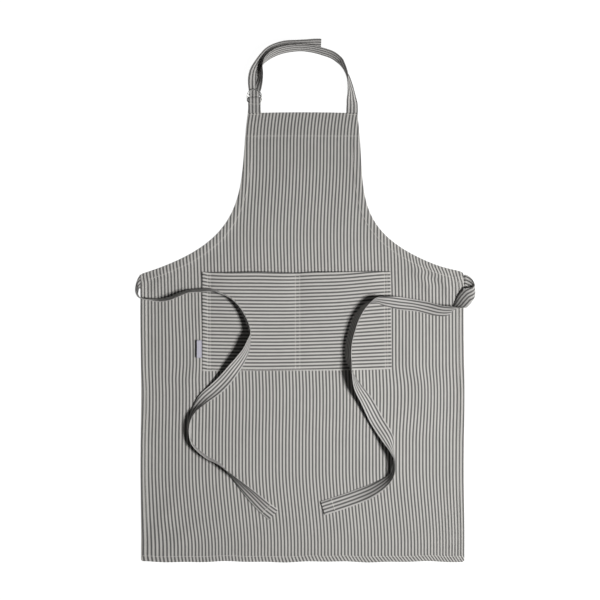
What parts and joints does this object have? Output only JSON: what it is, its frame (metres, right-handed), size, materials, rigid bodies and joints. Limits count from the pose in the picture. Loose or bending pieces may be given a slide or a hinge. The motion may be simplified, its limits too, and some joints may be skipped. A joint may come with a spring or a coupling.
{
  "type": "bib apron",
  "caption": "Striped cotton bib apron laid flat, with a divided front pocket, a neck strap adjusted by double D-rings, and long waist ties.",
  "frame": {"origin": "middle of the apron's footprint, on the surface it lies on", "axes": "+X to the viewer's right, +Y from the hem to the neck loop, +Z out of the apron's front"},
  "size_m": [0.6862, 1.048, 0.0369],
  "materials": {
    "striped_cotton": "woven grey and off-white stripe, matt, unstarched",
    "striped_tape": "the same striped cotton folded into tape, matt",
    "thread": "white sewing thread, slightly lustrous",
    "ring_metal": "nickel-plated wire, satin",
    "label_fabric": "blank woven satin label, pale lilac grey"
  },
  "bodies": {
    "apron": {"apron_panel": "striped_cotton", "armhole_facing_right": "striped_cotton", "armhole_facing_left": "striped_cotton", "tie_sewn_end_right": "striped_tape", "tie_sewn_end_left": "striped_tape", "strap_sewn_end": "striped_tape", "ring_tab_sewn_end": "striped_tape", "pocket_panel": "striped_cotton", "side_hem_thread_right": "thread", "side_hem_thread_left": "thread", "armhole_thread_right": "thread", "armhole_thread_left": "thread", "bottom_hem_thread": "thread", "bib_hem_thread": "thread", "tab_fixing_thread": "thread", "strap_fixing_thread": "thread", "tie_fixing_thread_right": "thread", "tie_fixing_thread_left": "thread", "pocket_thread_left_outer": "thread", "pocket_thread_left_inner": "thread", "pocket_thread_right_outer": "thread", "pocket_thread_right_inner": "thread", "pocket_thread_middle_left": "thread", "pocket_thread_middle_right": "thread", "pocket_thread_bottom": "thread", "pocket_corner_tack": "thread"},
    "neck_loop": {"ring_tab": "striped_tape", "ring_tab_thread": "thread", "d_ring_back": "ring_metal", "neck_strap": "striped_tape"},
    "front_ring": {"d_ring_front": "ring_metal"},
    "left_tie": {"waist_tie_left": "striped_tape", "tie_end_thread_left": "thread"},
    "right_tie": {"waist_tie_right": "striped_tape", "tie_end_thread_right": "thread"},
    "label": {"blank_label": "label_fabric"}
  },
  "joints": [
    {"name": "neck_loop_fold", "type": "hinge", "parent": "apron", "child": "neck_loop", "pos_m": [0, 0.37814, 0.0023], "axis": [1, 0, 0], "range_deg": [0, 130]},
    {"name": "front_ring_tilt", "type": "hinge", "parent": "neck_loop", "child": "front_ring", "pos_m": [-0.09817, 0.40659, 0.0054], "axis": [1, 0, 0], "range_deg": [0, 100]},
    {"name": "left_tie_swing", "type": "hinge", "parent": "apron", "child": "left_tie", "pos_m": [-0.32687, 0.02099, 0], "axis": [0, -1, 0], "range_deg": [0, 170]},
    {"name": "right_tie_swing", "type": "hinge", "parent": "apron", "child": "right_tie", "pos_m": [0.32373, 0.02099, 0], "axis": [0, 1, 0], "range_deg": [0, 170]},
    {"name": "label_flip", "type": "hinge", "parent": "apron", "child": "label", "pos_m": [-0.20306, -0.09626, 0.0026], "axis": [0, 1, 0], "range_deg": [0, 140]}
  ]
}
